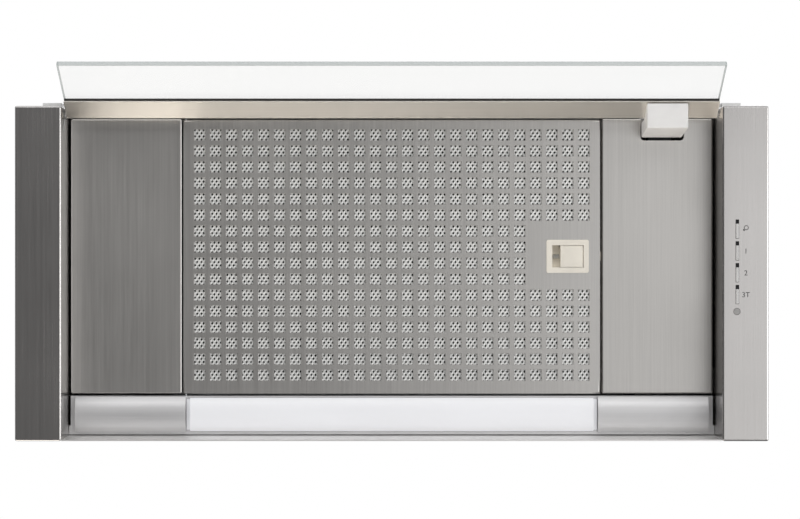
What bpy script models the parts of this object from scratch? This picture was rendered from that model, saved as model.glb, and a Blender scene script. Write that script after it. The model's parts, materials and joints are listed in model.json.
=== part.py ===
"""Under-cabinet range hood, 600 mm class, with a hinged glass visor.

The hood hangs in its working attitude: +Z is up, -Y is the cook's side, +X is the
switch side. The origin is the middle of the top face, which meets the cabinet.
Sizes below are in millimetres; the helpers turn them into metres.
"""

import math

import bmesh
import bpy
from mathutils import Matrix, Vector

MM = 0.001
GAP = 0.3          # clearance between touching pieces
SHEET = 1.0        # thickness of the folded steel

# Carcass and side housings
CARCASS_HALF_X = 298.0
CARCASS_Y = (-130.0, 133.0)
CARCASS_BOTTOM = -114.5
MOUNT_HOLES = ((-262, -96), (262, -96), (-262, 100), (262, 100))
GLAND_AT = (206.0, 98.0)
HOUSING_X = (262.3, 299.0)
HOUSING_Y = (-133.0, 133.0)
UNDERSIDE = -175.0
HOUSING_TOP = -115.0
FLANGE = 9.0

# Underside recess: two blank panels, the grease filter and the lamp strip
PLANE = -131.0
TRAY_RISE = 10.0
PANEL_X = (170.5, 260.7)
PANEL_Y = (-125.3, 97.9)
FILTER_HALF_X = 169.2
FILTER_Y = (-124.3, 97.9)
WINDOW_PITCH = 13.0
WINDOW = 9.0
COLUMNS = 25
ROWS = 16
FIRST_ROW_Y = -112.2
BLANK_FROM_COLUMN = 21     # windows are left out around the latch
BLANK_ROWS = (6, 10)
STRIP_Y = (99.7, 129.4)
STRIP_SAG = 7.0
SKIN_Y = (STRIP_Y[0] + 0.6, STRIP_Y[1] - 0.3)     # the arched covers and lens
LENS_HALF_X = 163.5
LENS_TAB = 3.0        # flat tab at each end of the lens
COVER_END_X = 256.5
COVER_FROM_X = LENS_HALF_X + 3.5
MEMBER_FOOT = -131.2  # lower edge of the front cross member
MEMBER_NOTCH = -121.0

# Visor: pane and rail hang from a pivot, tilted towards the cook
VISOR_PIVOT = (0.0, -129.2, -151.6)
ARM_X = (202.8, 235.6)
NOSE_X = (264.0, 279.0)      # the white bearing that shows through the housing's front
NOSE_Z = (-160.0, -143.0)
CUTOUT_X = (202.0, 237.3)    # the opening that the rail's arm works in
CUTOUT_REAR = -107.7
VISOR_TILT = math.radians(-30.5)
RAIL_HALF_X = 261.0
SPRING_X = 261.65
SPRING_WIRE = 0.35
RAIL_FACE = 3.4
RAIL_TOP = 3.0
RAIL_FOOT = -20.3
RAIL_DEPTH = 8.6
RAIL_OUTER_FOOT = -11.5
GASKET_LIP = 1.5      # how far the rubber shows below the rail's inner wall
GASKET_OUTER_LIP = 1.0
GLASS_FOOT = -66.8
GLASS = 4.0

# Filter hinge (left edge) and latch (right edge)
FILTER_PIVOT = (-167.4, -13.2, -128.8)
FILTER_PIN_RADIUS = 0.9
LATCH_X = (125.6, 160.0)
LATCH_Y = (-27.1, -0.2)
LATCH_WINDOW_X = (130.3, 155.8)
LATCH_WINDOW_Y = (-22.6, -4.6)
SLIDER_X = (137.0, 155.3)

# Push buttons on the right housing
BUTTON_X = (272.6, 275.4)
BUTTON_START_Y = -42.9
BUTTON_PITCH = 17.3
BUTTON_SLOT = 15.2
BUTTON_KEY = 11.6
BUTTON_NAMES = ("button_lamp", "button_speed_1", "button_speed_2", "button_speed_3")
INDICATOR_AT = (273.7, 30.1)

# Blower, outlet and motor
BLOWER = (72.0, -2.0)
BLOWER_FLOOR = -107.0
BLOWER_ROOF = -44.0
SCROLL_SMALL = 91.0
SCROLL_LARGE = 117.0
IMPELLER_RADIUS = 83.0
BLADES = 24
MOTOR_RADIUS = 46.0
OUTLET = (-112.0, 58.0)
COLLAR_RADIUS = 60.0
COLLAR_HEIGHT = 32.0
FLAP_LEVEL = 17.0

# Sections drawn as (Y, Z) outlines are stood up so that their thickness runs along X.
SECTION_TURN = (math.pi / 2, 0, math.pi / 2)
# Outlines drawn as (X, Z) are stood up so that their thickness runs along Y.
FRONT_TURN = (math.pi / 2, 0, 0)

for old in list(bpy.data.objects):
    bpy.data.objects.remove(old, do_unlink=True)

hood = bpy.data.collections.new("under_cabinet_range_hood")
cutters = bpy.data.collections.new("cutters")
bpy.context.scene.collection.children.link(hood)
bpy.context.scene.collection.children.link(cutters)


def make_material(name, colour, roughness, metallic=0.0):
    made = bpy.data.materials.new(name)
    made.use_nodes = True
    shader = made.node_tree.nodes["Principled BSDF"]
    shader.inputs["Base Color"].default_value = (*colour, 1.0)
    shader.inputs["Roughness"].default_value = roughness
    shader.inputs["Metallic"].default_value = metallic
    return made


STEEL = make_material("brushed_steel", (0.50, 0.48, 0.46), 0.34, 1.0)
ZINC = make_material("galvanised_steel", (0.42, 0.43, 0.44), 0.45, 1.0)
ALUMINIUM = make_material("bright_aluminium", (0.80, 0.80, 0.79), 0.30, 1.0)
GLASS_PANE = make_material("tempered_glass", (0.78, 0.84, 0.81), 0.05)
RUBBER = make_material("black_rubber", (0.03, 0.03, 0.03), 0.7)
CREAM = make_material("cream_plastic", (0.77, 0.70, 0.57), 0.45)
GREY_PLASTIC = make_material("light_grey_plastic", (0.71, 0.70, 0.68), 0.5)
WHITE_PLASTIC = make_material("white_plastic", (0.86, 0.86, 0.86), 0.45)
DARK_PLASTIC = make_material("dark_plastic", (0.05, 0.05, 0.055), 0.5)
LENS = make_material("opal_lens", (0.88, 0.88, 0.90), 0.35)
BOARD = make_material("circuit_board", (0.10, 0.26, 0.12), 0.5)
COPPER = make_material("copper_winding", (0.60, 0.29, 0.13), 0.4, 1.0)


def add(name, data, material, at=(0, 0, 0), parent=None, collection=None):
    """Links an object whose own origin is at a world place given in millimetres."""
    made = bpy.data.objects.new(name, data)
    if material is not None:
        data.materials.append(material)
    (collection or hood).objects.link(made)
    place = Vector(at) * MM
    if parent is not None:
        made.parent = parent
        place -= parent.location
    made.location = place
    return made


def pivot(name, at, rotation=(0, 0, 0)):
    """An empty on a joint's axis, which its moving pieces hang from."""
    made = bpy.data.objects.new(name, None)
    made.empty_display_size = 0.02
    made.location = Vector(at) * MM
    made.rotation_euler = rotation
    hood.objects.link(made)
    return made


def mesh_of(name, build):
    mesh = bpy.data.meshes.new(name)
    shape = bmesh.new()
    build(shape)
    shape.to_mesh(mesh)
    shape.free()
    return mesh


def smooth_sides(made):
    """Shades curved faces smoothly and keeps the corners sharp."""
    made.data.shade_smooth()
    made.data.set_sharp_from_angle(angle=math.radians(35))


def rounded(made, width):
    bevel = made.modifiers.new("round_edges", "BEVEL")
    bevel.width = width * MM
    bevel.segments = 2
    bevel.limit_method = "ANGLE"
    bevel.angle_limit = math.radians(30)
    smooth_sides(made)


def cube_mesh(name, low, high):
    """A box mesh centred on its object's origin."""
    size = [(b - a) * MM for a, b in zip(low, high)]

    def build(shape):
        bmesh.ops.create_cube(shape, size=1.0, matrix=Matrix.Diagonal((*size, 1.0)))

    return mesh_of(name, build)


def centre(low, high):
    return [(a + b) / 2 for a, b in zip(low, high)]


def block(name, low, high, material, bevel=0.0, parent=None):
    made = add(name, cube_mesh(name, low, high), material, centre(low, high), parent)
    if bevel:
        rounded(made, bevel)
    return made


def tray(name, low, high, bevel, parent=None):
    """A folded steel box that is open on top: five faces thickened inwards."""
    size = [(b - a) * MM for a, b in zip(low, high)]

    def build(shape):
        bmesh.ops.create_cube(shape, size=1.0, matrix=Matrix.Diagonal((*size, 1.0)))
        shape.normal_update()
        lid = [face for face in shape.faces if face.normal.z > 0.9]
        bmesh.ops.delete(shape, geom=lid, context="FACES")

    made = add(name, mesh_of(name, build), STEEL, centre(low, high), parent)
    rounded(made, bevel)
    wall = made.modifiers.new("sheet", "SOLIDIFY")
    wall.thickness = SHEET * MM
    wall.offset = -1.0
    wall.use_even_offset = True
    return made


def rod_mesh(name, length, radius, sides, axis):
    turn = {"Z": Matrix(), "X": Matrix.Rotation(math.pi / 2, 4, "Y"),
            "Y": Matrix.Rotation(-math.pi / 2, 4, "X")}[axis]

    def build(shape):
        bmesh.ops.create_cone(
            shape, cap_ends=True, segments=sides, radius1=radius * MM,
            radius2=radius * MM, depth=length * MM, matrix=turn)

    return mesh_of(name, build)


def bar_mesh(name, start, end, radius, sides):
    """A round bar as long as the way between two points that differ along one axis."""
    spans = [abs(b - a) for a, b in zip(start, end)]
    axis = "XYZ"[spans.index(max(spans))]
    return rod_mesh(name, max(spans), radius, sides, axis)


def rod(name, start, end, radius, material, sides=24, bevel=0.0, parent=None):
    made = add(name, bar_mesh(name, start, end, radius, sides), material,
               centre(start, end), parent)
    smooth_sides(made)
    if bevel:
        rounded(made, bevel)


def plate(name, loops, half, material, at=(0, 0, 0), turn=(0, 0, 0), parent=None):
    """A flat outline with any holes, given half a thickness to each side.

    The outline runs anticlockwise and its holes clockwise, so that the walls face out.
    """
    curve = bpy.data.curves.new(name, "CURVE")
    curve.dimensions = "2D"
    curve.fill_mode = "BOTH"
    curve.extrude = half * MM
    for i, loop in enumerate(loops):
        pairs = zip(loop, loop[1:] + loop[:1])
        anticlockwise = sum(x0 * y1 - x1 * y0 for (x0, y0), (x1, y1) in pairs) > 0
        if anticlockwise != (i == 0):
            loop = loop[::-1]
        spline = curve.splines.new("POLY")
        spline.points.add(len(loop) - 1)
        for point, (x, y) in zip(spline.points, loop):
            point.co = (x * MM, y * MM, 0.0, 1.0)
        spline.use_cyclic_u = True
    made = add(name, curve, material, at, parent)
    made.rotation_euler = turn
    return made


def solid_mesh(made, material):
    """The same object with its curve turned into a welded mesh, ready for a Boolean."""
    bpy.context.view_layer.update()
    shown = made.evaluated_get(bpy.context.evaluated_depsgraph_get())
    mesh = bpy.data.meshes.new_from_object(shown)
    shape = bmesh.new()
    shape.from_mesh(mesh)
    bmesh.ops.remove_doubles(shape, verts=shape.verts, dist=0.00001)
    bmesh.ops.recalc_face_normals(shape, faces=shape.faces)
    shape.to_mesh(mesh)
    shape.free()
    name, matrix, parent = made.name, made.matrix_world.copy(), made.parent
    bpy.data.objects.remove(made, do_unlink=True)
    fresh = bpy.data.objects.new(name, mesh)
    mesh.materials.clear()
    mesh.materials.append(material)
    hood.objects.link(fresh)
    fresh.parent = parent
    bpy.context.view_layer.update()
    fresh.matrix_world = matrix
    return fresh


def circle(x, y, radius, sides):
    step = 2 * math.pi / sides
    return [(x + radius * math.cos(i * step), y + radius * math.sin(i * step))
            for i in range(sides)]


def rectangle(x_range, y_range, corner=0.0):
    """An outline with rounded corners, anticlockwise."""
    sides = 3
    (x0, x1), (y0, y1) = x_range, y_range
    if not corner:
        return [(x0, y0), (x1, y0), (x1, y1), (x0, y1)]
    points = []
    for cx, cy, first in ((x1 - corner, y0 + corner, -90), (x1 - corner, y1 - corner, 0),
                          (x0 + corner, y1 - corner, 90), (x0 + corner, y0 + corner, 180)):
        for i in range(sides + 1):
            angle = math.radians(first + 90 * i / sides)
            points.append((cx + corner * math.cos(angle), cy + corner * math.sin(angle)))
    return points


def turned(name, profile, material, at, steps=40, parent=None):
    """A closed (radius, height) section turned about a vertical axis.

    The section runs clockwise, down its outer side, so that the faces point outwards.
    """
    pairs = zip(profile, profile[1:] + profile[:1])
    if sum(r0 * z1 - r1 * z0 for (r0, z0), (r1, z1) in pairs) > 0:
        profile = profile[::-1]

    def build(shape):
        points = [shape.verts.new((r * MM, 0.0, z * MM)) for r, z in profile]
        for a, b in zip(points, points[1:] + points[:1]):
            shape.edges.new((a, b))

    made = add(name, mesh_of(name, build), material, at, parent)
    screw = made.modifiers.new("turn", "SCREW")
    screw.steps = steps
    screw.render_steps = steps
    screw.use_merge_vertices = True
    screw.merge_threshold = 0.00001
    screw.use_smooth_shade = True
    return made


def wire(name, points, radius, material):
    curve = bpy.data.curves.new(name, "CURVE")
    curve.dimensions = "3D"
    curve.bevel_depth = radius * MM
    curve.bevel_resolution = 2
    curve.use_fill_caps = True
    spline = curve.splines.new("POLY")
    spline.points.add(len(points) - 1)
    for point, place in zip(spline.points, points):
        point.co = (*[value * MM for value in place], 1.0)
    return add(name, curve, material)


def boolean(target, tool, operation):
    step = target.modifiers.new(operation.lower(), "BOOLEAN")
    step.operation = operation
    step.object = tool
    step.solver = "EXACT"
    tool.hide_render = True
    tool.display_type = "WIRE"


def cutter(name, mesh, at, parent=None):
    return add(name, mesh, None, at, parent, cutters)


def cut_box(target, name, low, high, parent=None):
    tool = cutter(name, cube_mesh(name, low, high), centre(low, high), parent)
    boolean(target, tool, "DIFFERENCE")


def cut_rod(target, name, start, end, radius, sides=24):
    tool = cutter(name, bar_mesh(name, start, end, radius, sides), centre(start, end))
    boolean(target, tool, "DIFFERENCE")


def join_rod(target, name, start, end, radius, sides):
    tool = cutter(name, bar_mesh(name, start, end, radius, sides), centre(start, end))
    boolean(target, tool, "UNION")


def join_box(target, name, low, high, parent=None):
    tool = cutter(name, cube_mesh(name, low, high), centre(low, high), parent)
    boolean(target, tool, "UNION")


# Carcass ------------------------------------------------------------------

def make_carcass():
    """The steel box above the recess: a top, four walls and an inward bottom flange."""
    y0, y1 = CARCASS_Y
    x = CARCASS_HALF_X
    shell = block("carcass", (-x, y0, CARCASS_BOTTOM), (x, y1, 0), STEEL)
    cut_box(shell, "carcass_inside", (-x + SHEET, y0 + SHEET, CARCASS_BOTTOM + SHEET),
            (x - SHEET, y1 - SHEET, -SHEET))
    cut_box(shell, "carcass_mouth",
            (-x + FLANGE, y0 + FLANGE, CARCASS_BOTTOM - 1), (x - FLANGE, y1 - FLANGE, -60))
    cut_rod(shell, "carcass_outlet", (*OUTLET, -8), (*OUTLET, 6), COLLAR_RADIUS + 0.6, 48)
    cut_rod(shell, "carcass_gland_hole", (*GLAND_AT, -6), (*GLAND_AT, 5), 6.3)
    for i, (sx, sy) in enumerate(MOUNT_HOLES):
        cut_rod(shell, f"mount_hole_{i + 1}", (sx, sy, -5), (sx, sy, 4), 2.4, 12)


def make_housing(side, name):
    """A folded side housing; its mouth is under the carcass and its flange meets it."""
    x0, x1 = HOUSING_X if side > 0 else (-HOUSING_X[1], -HOUSING_X[0])
    y0, y1 = HOUSING_Y
    shell = block(name, (x0, y0, UNDERSIDE), (x1, y1, HOUSING_TOP), STEEL, bevel=1.4)
    cut_box(shell, name + "_inside", (x0 + SHEET, y0 + SHEET, UNDERSIDE + SHEET),
            (x1 - SHEET, y1 - SHEET, HOUSING_TOP - SHEET))
    cut_box(shell, name + "_mouth", (x0 + FLANGE, y0 + FLANGE, HOUSING_TOP - 5),
            (x1 - FLANGE, y1 - FLANGE, HOUSING_TOP + 5))
    inner = x0 if side > 0 else x1
    _, py, pz = VISOR_PIVOT
    cut_rod(shell, name + "_pin_hole", (inner - 3, py, pz), (inner + 3, py, pz), 2.1, 16)
    near, far = NOSE_X
    low, high = (near, far) if side > 0 else (-far, -near)
    cut_box(shell, name + "_nose_slot", (low - GAP, y0 - 3, NOSE_Z[0] - GAP),
            (high + GAP, y0 + 3, NOSE_Z[1] + GAP))
    return shell


def make_apron():
    """The rear wall of the recess, down to the underside, with a fixing lip on top."""
    lip = 3.0
    y = STRIP_Y[1] + 2.4
    outline = [(y, UNDERSIDE), (y + SHEET, UNDERSIDE), (y + SHEET, HOUSING_TOP),
               (y - lip, HOUSING_TOP), (y - lip, HOUSING_TOP - SHEET), (y, HOUSING_TOP - SHEET)]
    half = HOUSING_X[0] - GAP
    plate("rear_apron", [outline], half, STEEL, turn=SECTION_TURN)


def make_cross_member():
    """The upright strip behind the visor; it carries the filter's front pivot."""
    half = HOUSING_X[0] - GAP
    outline = [(-half, MEMBER_FOOT), (CUTOUT_X[0], MEMBER_FOOT), (CUTOUT_X[0], MEMBER_NOTCH),
               (CUTOUT_X[1], MEMBER_NOTCH), (CUTOUT_X[1], MEMBER_FOOT), (half, MEMBER_FOOT),
               (half, HOUSING_TOP), (-half, HOUSING_TOP)]
    hole = circle(FILTER_PIVOT[0], FILTER_PIVOT[2], FILTER_PIN_RADIUS + 0.4, 12)
    plate("front_cross_member", [outline, hole], 0.6, ZINC, at=(0, -126.3, 0),
          turn=FRONT_TURN)


def make_blank_panel(side, name):
    x0, x1 = PANEL_X if side > 0 else (-PANEL_X[1], -PANEL_X[0])
    y0, y1 = PANEL_Y
    panel = tray(name, (x0, y0, PLANE), (x1, y1, PLANE + TRAY_RISE), 1.2)
    if side > 0:
        opening = plate("arm_cutout", [rectangle(CUTOUT_X, (y0 - 10, CUTOUT_REAR), 3.0)],
                        15.0, None, at=(0, 0, PLANE))
        tool = solid_mesh(opening, STEEL)
        hood.objects.unlink(tool)
        cutters.objects.link(tool)
        boolean(panel, tool, "DIFFERENCE")


# Lamp strip -----------------------------------------------------------------

def sag_at(y):
    """How far the strip's arched skin hangs below the recess plane at a depth y."""
    y0, y1 = SKIN_Y
    middle, reach = (y0 + y1) / 2, (y1 - y0) / 2
    return STRIP_SAG * math.sqrt(max(0.0, 1 - ((y - middle) / reach) ** 2) * 0.9 + 0.1)


def arch(inset, thickness):
    """An arched (Y, Z) section of even thickness."""
    steps = 10
    y0, y1 = SKIN_Y[0] + inset, SKIN_Y[1] - inset
    ys = [y0 + (y1 - y0) * i / steps for i in range(steps + 1)]
    base = PLANE - GAP
    outer = [(y, base - sag_at(y) + inset) for y in ys]
    inner = [(y0 + thickness, base)] + [
        (y, base - sag_at(y) + inset + thickness)
        for y in ys[1:-1]] + [(y1 - thickness, base)]
    return [(y0, base)] + outer + [(y1, base)] + inner[::-1]


def make_lamp_strip():
    """Base plate with lamp opening, two arched steel covers and the opal lens."""
    x = PANEL_X[1]
    y0, y1 = STRIP_Y
    ear_from = 123.8      # the plate widens behind the blank panels
    ear = HOUSING_X[0] - GAP
    outline = [(-x, y0), (x, y0), (x, ear_from), (ear, ear_from), (ear, y1 + 1.6),
               (-ear, y1 + 1.6), (-ear, ear_from), (-x, ear_from)]
    opening = rectangle((-LENS_HALF_X + 3, LENS_HALF_X - 3), (y0 + 4, y1 - 4))
    plate("lamp_base_plate", [outline, opening], SHEET / 2, STEEL,
          at=(0, 0, PLANE + SHEET / 2))
    above_pin = FILTER_PIVOT[2] + 1.8
    plate("rear_cross_member", [rectangle((-x, x), (above_pin, HOUSING_TOP))], 0.6, ZINC,
          at=(0, y0 + 0.6, 0), turn=FRONT_TURN)
    for side, name in ((-1, "lamp_cover_left"), (1, "lamp_cover_right")):
        middle = side * (COVER_END_X + COVER_FROM_X) / 2
        plate(name, [arch(0.0, 0.9)], (COVER_END_X - COVER_FROM_X) / 2, STEEL,
              at=(middle, 0, 0), turn=SECTION_TURN)
    lens = solid_mesh(plate("lamp_lens", [arch(1.2, 1.6)], LENS_HALF_X, LENS,
                            turn=SECTION_TURN), LENS)
    base = PLANE - GAP
    for side, name in ((-1, "lens_tab_left"), (1, "lens_tab_right")):
        low, high = sorted((side * (LENS_HALF_X - 1), side * (LENS_HALF_X + LENS_TAB)))
        join_box(lens, name, (low, SKIN_Y[0] + 2.2, base - 1.5),
                 (high, SKIN_Y[1] - 2.2, base - 0.01))


def make_lamp():
    """Tube, two sockets, the folded reflector and its driver."""
    y = sum(STRIP_Y) / 2
    z = -123.5
    rod("lamp_tube", (-144, y, z), (144, y, z), 5.0, LENS, sides=20)
    for side, name in ((-1, "lamp_socket_left"), (1, "lamp_socket_right")):
        low, high = sorted((side * 144.4, side * 158.0))
        block(name, (low, y - 7, PLANE + SHEET + GAP), (high, y + 7, -116), WHITE_PLASTIC, 1.0)
    outline = [(y - 13, -129), (y - 12, -129), (y - 9, -117), (y + 9, -117), (y + 12, -129),
               (y + 13, -129), (y + 10, -116), (y - 10, -116)]
    plate("lamp_reflector", [outline], 142.0, ALUMINIUM, turn=SECTION_TURN)
    block("lamp_driver", (-250, 60, -30), (-190, 100, -3), WHITE_PLASTIC, 2.0)


# Visor ------------------------------------------------------------------------

def make_visor():
    axis = pivot("visor_axis", VISOR_PIVOT, (VISOR_TILT, 0, 0))
    channel_back = RAIL_FACE - RAIL_DEPTH
    outline = [(RAIL_FACE, RAIL_FOOT), (RAIL_FACE, RAIL_TOP), (channel_back, RAIL_TOP),
               (channel_back, RAIL_OUTER_FOOT), (channel_back + SHEET, RAIL_OUTER_FOOT),
               (channel_back + SHEET, RAIL_TOP - SHEET), (RAIL_FACE - SHEET, RAIL_TOP - SHEET),
               (RAIL_FACE - SHEET, RAIL_FOOT)]
    rail = plate("visor_rail", [outline], RAIL_HALF_X, STEEL, turn=SECTION_TURN)
    y1 = RAIL_FACE - SHEET - GAP
    y0 = channel_back + SHEET + GAP
    wall = 0.7
    foot = RAIL_FOOT - GASKET_LIP
    outer_foot = RAIL_OUTER_FOOT - GASKET_OUTER_LIP
    top = -6.5
    seal = [(y0, outer_foot), (y0 + wall, outer_foot), (y0 + wall, top - wall),
            (y1 - wall, top - wall), (y1 - wall, foot), (y1, foot), (y1, top), (y0, top)]
    gasket = plate("visor_gasket", [seal], RAIL_HALF_X - 0.5, RUBBER, turn=SECTION_TURN)
    middle = (y0 + y1) / 2
    pane = add("visor_glass", cube_mesh(
        "visor_glass", (-RAIL_HALF_X, middle - GLASS / 2, GLASS_FOOT),
        (RAIL_HALF_X, middle + GLASS / 2, top - wall - GAP)), GLASS_PANE)
    pane.location = Vector((0, middle, (GLASS_FOOT + top - wall - GAP) / 2)) * MM
    rounded(pane, 0.7)
    for piece in (rail, gasket, pane):
        piece.parent = axis
    for side, name in ((-1, "visor_pivot_left"), (1, "visor_pivot_right")):
        low, high = sorted((side * 250.0, side * (RAIL_HALF_X - GAP)))
        plug = add(name, cube_mesh(name, (low, y0, -5.5), (high, y1, RAIL_TOP - SHEET - GAP)),
                   GREY_PLASTIC)
        plug.location = Vector(((low + high) / 2, middle,
                                (RAIL_TOP - SHEET - GAP - 5.5) / 2)) * MM
        plug.parent = axis
        stub = cutter(name + "_stub", rod_mesh(name + "_stub", 22.0, 1.7, 16, "X"),
                      (side * 265.0, 0, 0))
        stub.parent = axis
        boolean(plug, stub, "UNION")
    make_arm(axis)


def on_rail(height):
    """World Y and Z of a place a clearance off the rail's inner wall."""
    off = Matrix.Rotation(VISOR_TILT, 3, "X") @ Vector((0, RAIL_FACE + GAP, height))
    return VISOR_PIVOT[1] + off.y, VISOR_PIVOT[2] + off.z


def make_arm(axis):
    """The moulded arm on the rail that reaches up through the panel to the microswitch."""
    x0, x1 = ARM_X
    outline = [(-135.3, -172.0), (-115.5, -172.0), (-110.1, -129.5), (-122.5, -129.5),
               on_rail(4.0), on_rail(-17.5)]
    arm = plate("visor_arm", [outline], (x1 - x0) / 2, GREY_PLASTIC,
                at=((x0 + x1) / 2, 0, 0), turn=SECTION_TURN)
    arm = solid_mesh(arm, GREY_PLASTIC)
    rounded(arm, 1.0)
    bpy.context.view_layer.update()
    place = arm.matrix_world.copy()
    arm.parent = axis
    arm.matrix_parent_inverse = axis.matrix_world.inverted()
    arm.matrix_world = place


def make_hinge_block(side, name):
    """A moulded bearing in the housing's front corner, with a nose that shows in front."""
    _, py, pz = VISOR_PIVOT
    near, far = 263.6, 283.0
    low, high = (near, far) if side > 0 else (-far, -near)
    bearing = block(name, (low, HOUSING_Y[0] + SHEET + GAP, -166), (high, -112, -137),
                    WHITE_PLASTIC)
    near, far = NOSE_X
    nose_low, nose_high = (near, far) if side > 0 else (-far, -near)
    join_box(bearing, name + "_nose", (nose_low, HOUSING_Y[0] - 3.2, NOSE_Z[0]),
             (nose_high, -125, NOSE_Z[1]))
    cut_rod(bearing, name + "_bore", (side * 262, py, pz), (side * 277, py, pz), 2.0, 16)


def make_visor_spring(side, name):
    """A hairpin spring bent over the visor's pivot stub, with a leg along the wall."""
    _, py, pz = VISOR_PIVOT
    x = side * SPRING_X
    loop = 3.2
    turns = [(x, py + loop * math.cos(a), pz + loop * math.sin(a))
             for a in [math.radians(200 - 21 * i) for i in range(11)]]
    first = [(x, py - 5.5, pz - 11.5), (x, py - 5.0, pz - 7.0)]
    last = [(x, py + 6.0, pz - 8.0), (x, py + 15.5, pz - 14.0)]
    wire(name, first + turns + last, SPRING_WIRE, ZINC)


# Grease filter ---------------------------------------------------------------

def window_places():
    for column in range(COLUMNS):
        for row in range(ROWS):
            if column >= BLANK_FROM_COLUMN and BLANK_ROWS[0] <= row < BLANK_ROWS[1]:
                continue
            yield (WINDOW_PITCH * (column - (COLUMNS - 1) / 2),
                   FIRST_ROW_Y + WINDOW_PITCH * row)


def cut_windows(front, axis):
    """The plate's square windows: one cutter made of a box for every window."""
    def build(shape):
        for x, y in window_places():
            bmesh.ops.create_cube(shape, size=WINDOW * MM, matrix=Matrix.Translation(
                Vector((x, y, 0)) * MM))

    boolean(front, cutter("window_cutters", mesh_of("window_cutters", build),
                          (0, 0, PLANE), axis), "DIFFERENCE")


def make_filter():
    axis = pivot("filter_axis", FILTER_PIVOT)
    y0, y1 = FILTER_Y
    x = FILTER_HALF_X
    hinge_corner = 1.4
    low, high = (-x, y0, PLANE), (x, y1, PLANE + TRAY_RISE)
    front = tray("filter_front_plate", low, high, hinge_corner, axis)
    cut_box(front, "latch_opening", (LATCH_X[0] + 2, LATCH_Y[0] + 2, PLANE - 3),
            (LATCH_X[1] - 2, LATCH_Y[1] - 2, PLANE + 5), axis)
    cut_box(front, "bolt_slot", (x - 4, -18.2, -128.4), (x + 4, -9.1, -124.2), axis)
    cut_windows(front, axis)
    mesh_pack = block("filter_mesh", (-x + 1.5, y0 + 1.5, PLANE + SHEET + GAP),
                      (x - 1.5, y1 - 1.5, -124.0), ALUMINIUM, parent=axis)
    cut_box(mesh_pack, "mesh_latch_space", (LATCH_X[0] - 2, LATCH_Y[0] - 2, PLANE - 3),
            (x + 5, LATCH_Y[1] + 2, -110), axis)
    outer = rectangle((-x + 1.5, x - 1.5), (y0 + 1.5, y1 - 1.5))
    inner = rectangle((-x + 12, LATCH_X[0] - 5), (y0 + 12, y1 - 12), 6.0)
    plate("filter_retainer", [outer, inner], 0.5, ZINC, at=(0, 0, -121.9), parent=axis)
    py, pz = FILTER_PIVOT[0], FILTER_PIVOT[2]
    radius = FILTER_PIN_RADIUS
    rod("filter_pin_front", (py, -127.6, pz), (py, y0 - GAP, pz), radius, ZINC, 12, parent=axis)
    rod("filter_pin_rear", (py, y1 + GAP, pz), (py, 102.4, pz), radius, ZINC, 12, parent=axis)
    make_latch(axis)


def make_latch(axis):
    """Moulded bezel and pocket in the plate, with the sprung slider that holds the bolt."""
    flange = plate("latch_frame", [rectangle(LATCH_X, LATCH_Y, 1.5)],
                   0.3, CREAM, at=(0, 0, PLANE - GAP - 0.3), parent=axis)
    frame = solid_mesh(flange, CREAM)
    inset = 2.4
    join_box(frame, "latch_pocket", (LATCH_X[0] + inset, LATCH_Y[0] + inset, PLANE - GAP - 0.2),
             (LATCH_X[1] - inset, LATCH_Y[1] - inset, -123.5), axis)
    cut_box(frame, "latch_well", (LATCH_WINDOW_X[0], LATCH_WINDOW_Y[0], PLANE - 3),
            (LATCH_WINDOW_X[1], LATCH_WINDOW_Y[1], -124.3), axis)
    cut_box(frame, "bolt_way", (LATCH_WINDOW_X[1] - 1, -17.9, -128.2),
            (LATCH_X[1] + 3, -9.4, -124.4), axis)
    slide = pivot("latch_axis", (SLIDER_X[0], -13.6, -128.0))
    y0, y1 = LATCH_WINDOW_Y[0] + GAP, LATCH_WINDOW_Y[1] - GAP
    slider = block("latch_slider", (SLIDER_X[0], y0, -131.2), (SLIDER_X[1], y1, -124.6),
                   CREAM, parent=slide)
    join_box(slider, "slider_bolt", (SLIDER_X[1] - 3, -17.5, -127.8), (170.0, -9.8, -124.8),
             slide)
    join_box(slider, "slider_lip", (SLIDER_X[0], y0, -132.0), (SLIDER_X[0] + 2.2, y1, -129.0),
             slide)
    steps, turns, reach = 10, 5, 1.7
    advance = (SLIDER_X[0] - LATCH_WINDOW_X[0] - 1.6) / (steps * turns)
    coil = [(LATCH_WINDOW_X[0] + 0.8 + advance * i,
             -13.6 + reach * math.cos(2 * math.pi * i / steps),
             -127.9 + reach * math.sin(2 * math.pi * i / steps))
            for i in range(steps * turns + 1)]
    wire("latch_spring", coil, 0.3, ZINC)


# Controls ----------------------------------------------------------------------

def button_start(index):
    return BUTTON_START_Y + index * BUTTON_PITCH


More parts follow.
